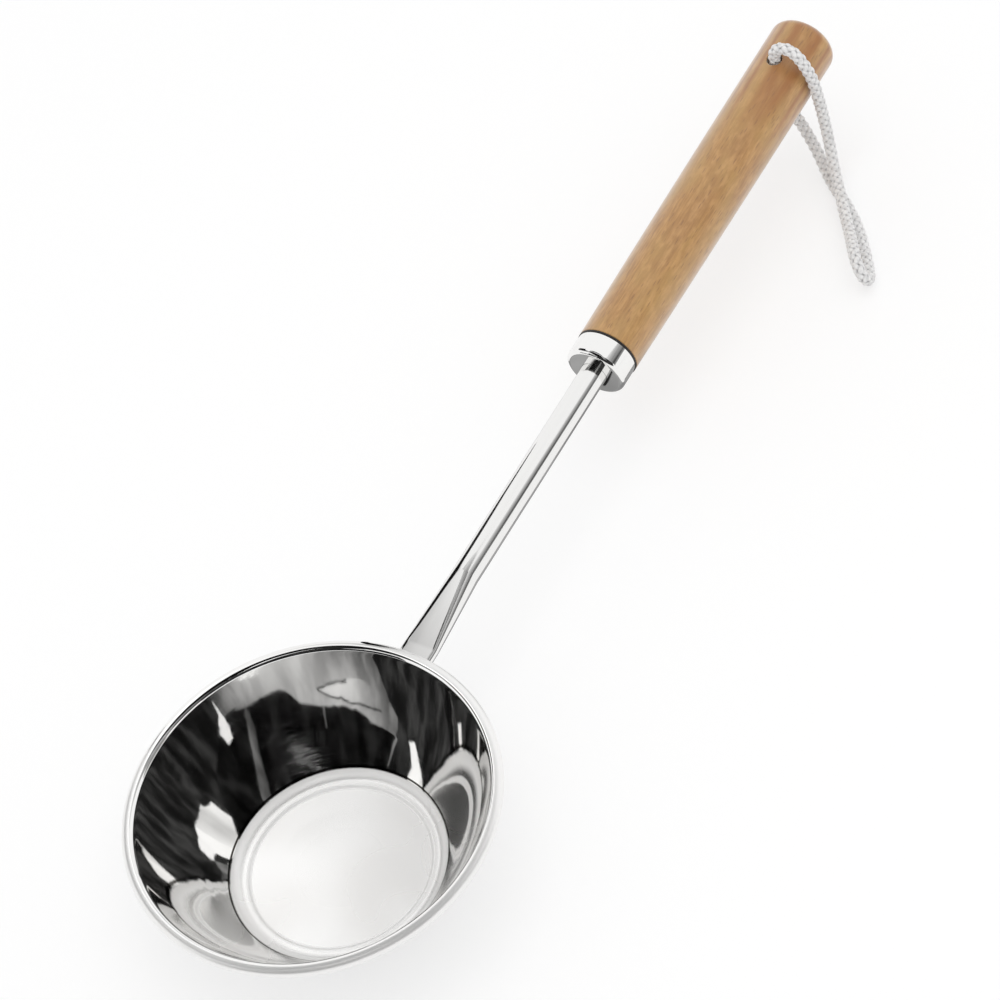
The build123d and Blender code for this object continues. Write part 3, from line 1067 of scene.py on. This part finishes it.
def make_world():
    """White to the camera and in the steel, and a little less as light on the object."""
    shader = Shader("studio", world=True)
    seen = shader.rays("Is Camera Ray", "Is Glossy Ray", "Is Transmission Ray")
    background = shader.nodes["Background"]
    shader.put(background.inputs["Color"], (1.0, 1.0, 1.0))
    shader.put(background.inputs["Strength"], shader.span(seen, 0.0, 1.0, WORLD_LIGHT, 1.0, False))
    bpy.context.scene.world = shader.owner


def floor_white():
    """Matte white that is partly plain white to the camera and the steel: soft shadows."""
    shader = Shader("floor_white")
    shader.set(base_color=FLOOR_COLOUR, roughness=0.9)
    seen = shader.rays("Is Camera Ray", "Is Glossy Ray")
    glow = shader.nodes.new("ShaderNodeEmission")
    both = shader.nodes.new("ShaderNodeMixShader")
    shader.put(both.inputs[0], shader.math("MULTIPLY", seen, FLOOR_PLAIN_WHITE))
    shader.put(both.inputs[1], shader.surface.outputs[0])
    shader.put(both.inputs[2], glow.outputs[0])
    shader.put(shader.nodes["Material Output"].inputs["Surface"], both.outputs[0])
    return shader.owner


def make_floor():
    build = bmesh.new()
    bmesh.ops.create_grid(build, x_segments=2, y_segments=2, size=FLOOR_HALF_WIDTH)
    floor = finish_mesh("floor", build)
    floor.location.z = -FLOOR_DROP
    dress(floor, floor_white())


def make_lamp():
    """One large soft lamp overhead, which the steel doesn't show."""
    data = bpy.data.lights.new("key", "AREA")
    data.shape = "RECTANGLE"
    data.size = LAMP_SIZE
    data.size_y = LAMP_SIZE
    data.energy = LAMP_POWER
    lamp = bpy.data.objects.new("key", data)
    bpy.context.collection.objects.link(lamp)
    lamp.location = LAMP_PLACE
    heading = Vector(LAMP_TARGET) - Vector(LAMP_PLACE)
    lamp.rotation_euler = heading.to_track_quat("-Z", "Y").to_euler()
    lamp.visible_glossy = False


# Cards round the table, which only the polished steel shows. Each is a piece of a dome:
# a radius, the greys of its lower and upper edge, either once or at each azimuth, and
# at each azimuth, turning from +X towards +Y, the heights of those edges in degrees.
DOME_CENTRE = Vector((0.0, 0.0, 0.02))
FAR = 2.2
NEAR = 0.38
CARD_ROWS = 8
CARD_STEP = 5.0
CARDS = (
    ("camera_side_card", FAR, ((0.03, 0.02),), (
        (165, 40, 57), (175, 36, 56), (185, 31, 57), (200, 28, 56), (212, 25, 54),
        (225, 24, 53.5), (235, 24, 52.5), (242, 24, 54.5), (248, 24, 57), (256, 23, 59),
        (262, 22, 58), (268, 21, 55), (276, 22, 60), (284, 25, 54),
    )),
    ("camera_high_card", FAR - 0.05, ((0.02, 0.01),), (
        (229, 69, 70), (231, 58, 70), (236, 56, 70), (242, 54.5, 70), (262, 57, 70),
        (268, 55, 68), (276, 59, 66),
    )),
    ("camera_low_card", FAR, ((0.01, 0.01),), (
        (150, 4, 30), (180, 5, 33), (200, 8, 30), (225, 12, 26), (250, 14, 25), (262, 16, 23),
    )),
    ("left_card", FAR, ((0.015, 0.015),), (
        (66, 20, 46), (80, 19, 48), (97, 20, 48), (103, 25, 54), (112, 30, 56), (118, 34, 58),
        (119, 38, 86), (150, 42, 86), (165, 43, 80), (172, 43, 70), (175, 43, 60), (186, 44, 58),
    )),
    ("right_low_card", FAR, ((0.35, 0.08),), (
        (288, 12, 19), (297, 12, 19), (303, 12, 19), (312, 12, 19),
    )),
    ("right_card", FAR, ((0.08, 0.80),), (
        (284, 25, 55), (290, 19, 54), (297, 19, 53), (303, 19, 52), (308, 19, 50), (312, 19, 46),
    )),
    ("band_card", NEAR - 0.01, (
        (0.15, 0.15), (0.15, 0.25), (0.12, 0.40), (0.10, 0.45), (0.08, 0.50), (0.12, 0.55),
        (0.10, 0.55), (0.35, 0.50), (0.75, 0.42), (0.75, 0.40), (0.72, 0.42), (0.70, 0.42),
        (0.62, 0.42), (0.45, 0.35), (0.35, 0.30), (0.12, 0.10), (0.10, 0.08),
    ), (
        (-110, 56, 61), (-98, 55, 62), (-87, 50, 63.5), (-77, 47, 64.3), (-66, 47, 64.2),
        (-57, 47, 64), (-41, 47, 65), (-24, 51, 65.7), (-4, 52, 65.9), (11, 54, 65.7),
        (25, 55, 63.2), (41, 57, 63), (58, 57, 63.1), (67, 55.5, 63), (78, 54, 62.9),
        (98, 54, 62), (104, 54, 62),
    )),
    ("arrow_card", NEAR - 0.015, (
        (0.22, 0.30), (0.55, 0.55), (0.80, 0.72), (0.80, 0.72), (0.80, 0.72),
    ), (
        (-82, 56, 60.6), (-65, 56.5, 62.3), (-47, 59.5, 63.3), (-30, 61.5, 63.9), (-14, 62.9, 63.1),
    )),
    ("arrow_lower_line", NEAR - 0.02, ((0.03, 0.03),), (
        (-90, 59.6, 60.1), (-82, 60.6, 61.1), (-65, 62.3, 62.8), (-47, 63.3, 63.8),
        (-30, 63.9, 64.3), (-14, 62.9, 63.3),
    )),
    ("arrow_upper_line", NEAR - 0.02, ((0.03, 0.03),), (
        (-50, 59, 59.5), (-30, 61.2, 61.7), (-14, 62.7, 63.1),
    )),
    ("far_overhead_card", FAR, ((0.006, 0.006),), (
        (-98, 66.5, 90), (115, 66.5, 90), (165, 67, 90), (188, 69, 90), (222, 70, 90),
        (245, 68, 90), (262, 66.5, 90),
    )),
    ("overhead_card", NEAR, ((0.006, 0.006),), (
        (-110, 60.5, 90), (-98, 61.5, 90), (-87, 63, 90), (-77, 63.8, 90), (-57, 63.6, 90),
        (-41, 64.5, 90), (-24, 65.2, 90), (11, 65.2, 90), (25, 62.7, 90), (58, 62.6, 90),
        (78, 62.4, 90), (98, 61.6, 90), (103, 61.8, 90), (106, 65.3, 90), (116, 65.5, 90),
        (118, 63, 90), (130, 64, 90), (175, 67, 90), (188, 70, 90), (220, 71, 90),
        (235, 67, 90), (246, 62, 90), (250, 60.5, 90),
    )),
    ("beam_card", NEAR - 0.02, ((0.14, 0.08),), (
        (72, 62.5, 64.5), (79, 64.3, 68.3), (90, 67.5, 71.5), (105, 72.2, 76), (120, 75.2, 78.8),
        (135, 77, 80),
    )),
    ("near_line_card", NEAR - 0.02, ((0.20, 0.10),), (
        (-17, 65.9, 70.5), (-15, 65.9, 70.5),
    )),
    ("side_line_card", NEAR - 0.02, ((0.25, 0.12),), (
        (-112.5, 61, 68.5), (-110.5, 61, 68.5),
    )),
    ("window_card", FAR + 0.1, ((1.15, 1.15),), (
        (214, 53, 70), (225, 53, 70), (240, 52, 70), (246, 52, 60),
    )),
    ("window_side_card", FAR + 0.1, (
        (1.15, 1.15), (1.15, 0.90), (0.70, 0.75), (0.70, 0.80), (0.95, 1.10),
    ), (
        (174, 56, 66), (181, 56, 67), (190, 57, 70), (200, 55, 70), (213.5, 53, 70),
    )),
)

# Small flat flags close to the ladle: one grey, or one at each corner, and the corners
FLAGS = (
    ("floor_reflector", (0.52, 1.23, 1.56, 0.95), (
        (0.149, 0.082, 0.124), (0.076, 0.138, 0.124), (-0.005, 0.102, 0.200), (0.068, 0.046, 0.200),
    )),
    ("stem_side_flag", (0.01,), (
        (0.080, 0.03, 0.026), (0.088, 0.03, 0.040), (0.120, 0.03, 0.045), (0.150, 0.03, 0.044),
        (0.176, 0.03, 0.048), (0.176, 0.03, 0.052), (0.152, 0.03, 0.056), (0.137, 0.03, 0.062),
        (0.121, 0.03, 0.066), (0.110, 0.03, 0.074), (0.088, 0.03, 0.073), (0.080, 0.03, 0.064),
    )),
    ("ferrule_floor_flag", (0.33,), (
        (0.085, -0.03, 0.001), (0.240, -0.03, 0.001), (0.240, 0.05, 0.001), (0.085, 0.05, 0.001),
    )),
    ("stem_shade_flag", (0.02,), (
        (0.172, 0.015, 0.0015), (0.183, 0.015, 0.0015), (0.183, 0.028, 0.0015),
        (0.172, 0.028, 0.0015),
    )),
    ("facet_flag", (0.62, 1.0, 0.85, 0.46), (
        (0.078, 0.008, 0.088), (0.114, 0.003, 0.088), (0.114, 0.044, 0.088), (0.078, 0.044, 0.088),
    )),
)


def card_glow(radius):
    """Light of the grey stored in the mesh, with faint upright streaks."""
    shader = Shader("card_glow")
    nodes = shader.nodes
    nodes.remove(shader.surface)
    position = nodes.new("ShaderNodeNewGeometry").outputs["Position"]
    streaks = shader.noise(shader.stretch(position, (9 / radius, 9 / radius, 3 / radius)), 1.0, 3.0)
    power = shader.span(streaks, 0.3, 0.7, 1.25, 0.75)
    glow = nodes.new("ShaderNodeEmission")
    shader.put(glow.inputs["Strength"], shader.math("POWER", shader.attribute("grey"), power))
    shader.put(nodes["Material Output"].inputs["Surface"], glow.outputs[0])
    return shader.owner


def show_to_steel_only(card):
    card.visible_camera = False
    card.visible_diffuse = False
    card.visible_transmission = False
    card.visible_shadow = False


def at_each(greys, places):
    """The greys once for each place, where one stands for all of them."""
    return greys * len(places) if len(greys) == 1 else greys


def dome_direction(azimuth, height):
    return Vector((
        math.cos(height) * math.cos(azimuth),
        math.cos(height) * math.sin(azimuth),
        math.sin(height),
    ))


def card_column(build, radius, stop):
    """Vertices up a card at one azimuth, with their greys stored in them."""
    grey = build.verts.layers.float["grey"]
    azimuth, low, high, low_grey, high_grey = stop
    column = []
    for row in range(CARD_ROWS + 1):
        share = row / CARD_ROWS
        height = math.radians(low + (high - low) * share)
        out = dome_direction(math.radians(azimuth), height)
        point = build.verts.new(DOME_CENTRE + out * radius)
        point[grey] = low_grey + (high_grey - low_grey) * share
        column.append(point)
    return column


def make_card(name, radius, greys, edges):
    """Staged piece of a dome that only glossy rays meet."""
    build = bmesh.new()
    build.verts.layers.float.new("grey")
    stops = [(*edge, *pair) for edge, pair in zip(edges, at_each(greys, edges))]
    columns = []
    for first, second in zip(stops, stops[1:]):
        steps = max(1, round((second[0] - first[0]) / CARD_STEP))
        for step in range(steps):
            columns.append(card_column(build, radius, blend(first, second, step / steps)))
    columns.append(card_column(build, radius, stops[-1]))
    for first, second in zip(columns, columns[1:]):
        for row in range(CARD_ROWS):
            build.faces.new((first[row], second[row], second[row + 1], first[row + 1]))
    card = finish_mesh(name, build)
    dress(card, card_glow(radius))
    show_to_steel_only(card)


def make_flag(name, greys, corners):
    """Staged flat flag that only glossy rays meet."""
    build = bmesh.new()
    grey = build.verts.layers.float.new("grey")
    points = [build.verts.new(corner) for corner in corners]
    for point, shade in zip(points, at_each(greys, corners)):
        point[grey] = shade
    build.faces.new(points)
    flag = finish_mesh(name, build)
    dress(flag, card_glow(NEAR))
    show_to_steel_only(flag)


bpy.context.scene.view_settings.view_transform = "Standard"
make_camera()
make_world()
make_floor()
for card in CARDS:
    make_card(*card)
for flag in FLAGS:
    make_flag(*flag)
dress(make_bowl(), bowl_steel())
dress(make_stem(), drawn_steel())
dress(make_ferrule(), turned_steel())
dress(make_ring(), nearly_black_band())
dress(make_handle(), beech_wood())
dress(make_cord(), cord_cotton())
dress(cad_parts["spot_welds"], weld_steel())
make_lamp()
